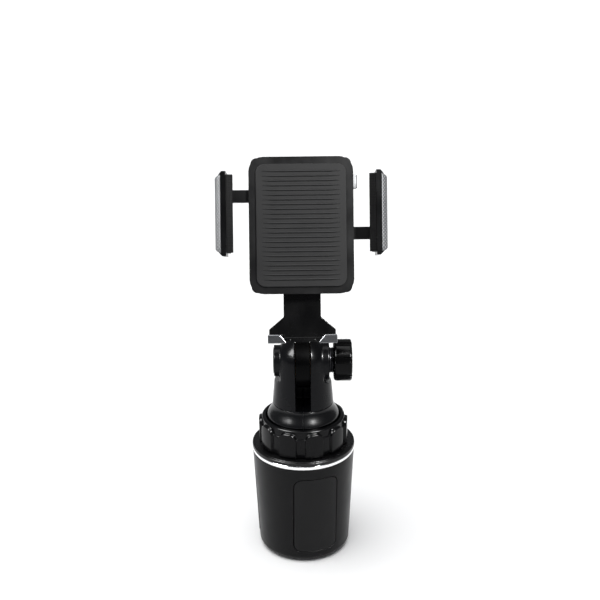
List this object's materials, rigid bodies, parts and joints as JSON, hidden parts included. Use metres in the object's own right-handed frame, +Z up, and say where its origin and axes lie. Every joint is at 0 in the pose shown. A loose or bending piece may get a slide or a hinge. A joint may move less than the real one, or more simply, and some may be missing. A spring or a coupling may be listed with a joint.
{
  "type": "phone mount",
  "caption": "Cup-holder phone mount: expanding cup base, swivelling neck, tilting arm and a ball-jointed cradle with geared side grips and hooked feet.",
  "frame": {"origin": "middle of the foot pad's underside, on the surface the mount stands on", "axes": "+Z up along the base; the cradle faces -Y; +X to the right seen from the front"},
  "size_m": [0.0942, 0.1055, 0.2611],
  "materials": {
    "black_shell": "satin black, moulded",
    "rubber": "matt black rubber",
    "wing_rubber": "satin black rubber",
    "chrome": "polished",
    "black_plate": "fine turned lines",
    "dark_nylon": "glass-filled nylon",
    "screw_steel": "zinc plated",
    "black_ring": "fine grain",
    "charcoal": "satin charcoal",
    "gloss_black": "high gloss",
    "acetal": "natural acetal",
    "washer_steel": "turned",
    "washer_fibre": "pressed fibre",
    "black_knob": "fine grain",
    "brass": "machined",
    "black_arm": "satin black",
    "ball_steel": "polished ball",
    "black_case": "fine grain",
    "black_screw": "blackened",
    "black_grip": "satin black",
    "silver_trim": "silver-grey, knurled"
  },
  "bodies": {
    "base": {"base_shell": "black_shell", "foot_pad": "rubber", "chrome_ring": "chrome", "top_plate": "black_plate", "guide_frame": "dark_nylon", "swivel_post": "dark_nylon", "post_screws": "screw_steel", "post_head": "screw_steel"},
    "front_wing": {"wing_1": "dark_nylon", "wing_pad_1": "wing_rubber"},
    "right_wing": {"wing_2": "dark_nylon", "wing_pad_2": "wing_rubber"},
    "left_wing": {"wing_3": "dark_nylon", "wing_pad_3": "wing_rubber"},
    "ring": {"grip_ring": "black_ring", "scroll_cam": "dark_nylon", "cam_screws": "screw_steel"},
    "neck": {"neck_left": "charcoal", "neck_right": "charcoal", "skirt_left": "gloss_black", "skirt_right": "gloss_black", "neck_screws": "screw_steel", "swivel_washer": "acetal", "pivot_bolt": "screw_steel", "bolt_cap": "charcoal", "knob_washer": "washer_steel", "friction_washers": "washer_fibre"},
    "clamp_knob": {"knob": "black_knob", "knob_nut": "brass"},
    "arm": {"arm": "black_arm", "ball_stud": "ball_steel"},
    "front_liner": {"liner_front": "acetal"},
    "rear_liner": {"liner_rear": "acetal"},
    "cradle": {"back_cover": "black_case", "front_cover": "black_case", "front_pad": "rubber", "case_screws": "black_screw", "socket": "black_case", "socket_screws": "screw_steel", "foot_guide": "dark_nylon", "pinion_spring": "screw_steel", "brake_spring": "screw_steel"},
    "locking_nut": {"lock_nut": "black_knob"},
    "gear": {"pinion": "acetal"},
    "left_grip": {"slider_left": "black_case", "grip_left": "black_grip", "grip_trim_left": "silver_trim", "grip_pad_left": "rubber", "grip_screws_left": "black_screw"},
    "right_grip": {"slider_right": "black_case", "grip_right": "black_grip", "grip_trim_right": "silver_trim", "grip_pad_right": "rubber", "grip_screws_right": "black_screw"},
    "brake": {"brake_shoe": "washer_fibre"},
    "button": {"release_button": "silver_trim"},
    "foot": {"foot_bracket": "black_grip", "foot_tips": "silver_trim", "foot_cushions": "rubber"}
  },
  "joints": [
    {"name": "ring_turn", "type": "hinge", "parent": "base", "child": "ring", "pos_m": [0, 0, 0.0825], "axis": [0, 0, 1], "range_deg": [0, 150]},
    {"name": "front_wing_slide", "type": "slide", "parent": "base", "child": "front_wing", "axis": [0.2504, -0.9681, 0], "range_m": [0, 0.008]},
    {"name": "right_wing_slide", "type": "slide", "parent": "base", "child": "right_wing", "axis": [0.7133, 0.7009, 0], "range_m": [0, 0.008]},
    {"name": "left_wing_slide", "type": "slide", "parent": "base", "child": "left_wing", "axis": [-0.9636, 0.2672, 0], "range_m": [0, 0.008]},
    {"name": "neck_swivel", "type": "hinge", "parent": "base", "child": "neck", "pos_m": [0, 0, 0.1], "axis": [0, 0, 1], "continuous": true},
    {"name": "knob_turn", "type": "hinge", "parent": "neck", "child": "clamp_knob", "pos_m": [0, 0, 0.1278], "axis": [1, 0, 0], "continuous": true},
    {"name": "arm_tilt", "type": "hinge", "parent": "neck", "child": "arm", "pos_m": [0, 0, 0.1278], "axis": [1, 0, 0], "range_deg": [-75, 60]},
    {"name": "ball_pitch", "type": "hinge", "parent": "arm", "child": "front_liner", "pos_m": [0, -0.0141, 0.21697], "axis": [1, 0, 0], "range_deg": [-12, 12]},
    {"name": "ball_yaw", "type": "hinge", "parent": "front_liner", "child": "rear_liner", "pos_m": [0, -0.0141, 0.21697], "axis": [0, 0.3256, 0.9455], "range_deg": [-12, 12]},
    {"name": "cradle_roll", "type": "hinge", "parent": "rear_liner", "child": "cradle", "pos_m": [0, -0.0141, 0.21697], "axis": [0, 0.9455, -0.3256], "continuous": true},
    {"name": "lock_nut_turn", "type": "hinge", "parent": "cradle", "child": "locking_nut", "pos_m": [0, -0.0141, 0.21697], "axis": [0, 0.9455, -0.3256], "continuous": true},
    {"name": "left_grip_slide", "type": "slide", "parent": "cradle", "child": "left_grip", "axis": [-1, 0, 0], "range_m": [-0.009, 0.009]},
    {"name": "right_grip_slide", "type": "slide", "parent": "cradle", "child": "right_grip", "axis": [1, 0, 0], "range_m": [-0.009, 0.009]},
    {"name": "gear_turn", "type": "hinge", "parent": "cradle", "child": "gear", "pos_m": [0, -0.03163, 0.22935], "axis": [0, -0.9455, 0.3256], "range_deg": [-90, 90]},
    {"name": "brake_lift", "type": "slide", "parent": "cradle", "child": "brake", "axis": [0, 0.3256, 0.9455], "range_m": [0, 0.002], "stiffness_N_per_m": 150, "springref_m": -0.002},
    {"name": "button_press", "type": "slide", "parent": "cradle", "child": "button", "axis": [-1, 0, 0], "range_m": [0, 0.002]},
    {"name": "foot_slide", "type": "slide", "parent": "cradle", "child": "foot", "axis": [0, 0.3256, 0.9455], "range_m": [-0.008, 0.012]}
  ],
  "couplings": [
    {"joint": "front_wing_slide", "follows": "ring_turn", "m_per_rad": 0.0030558},
    {"joint": "right_wing_slide", "follows": "ring_turn", "m_per_rad": 0.0030558},
    {"joint": "left_wing_slide", "follows": "ring_turn", "m_per_rad": 0.0030558},
    {"joint": "right_grip_slide", "follows": "left_grip_slide", "ratio": 1},
    {"joint": "gear_turn", "follows": "left_grip_slide", "rad_per_m": 166.67},
    {"joint": "button_press", "follows": "brake_lift", "ratio": 1}
  ]
}
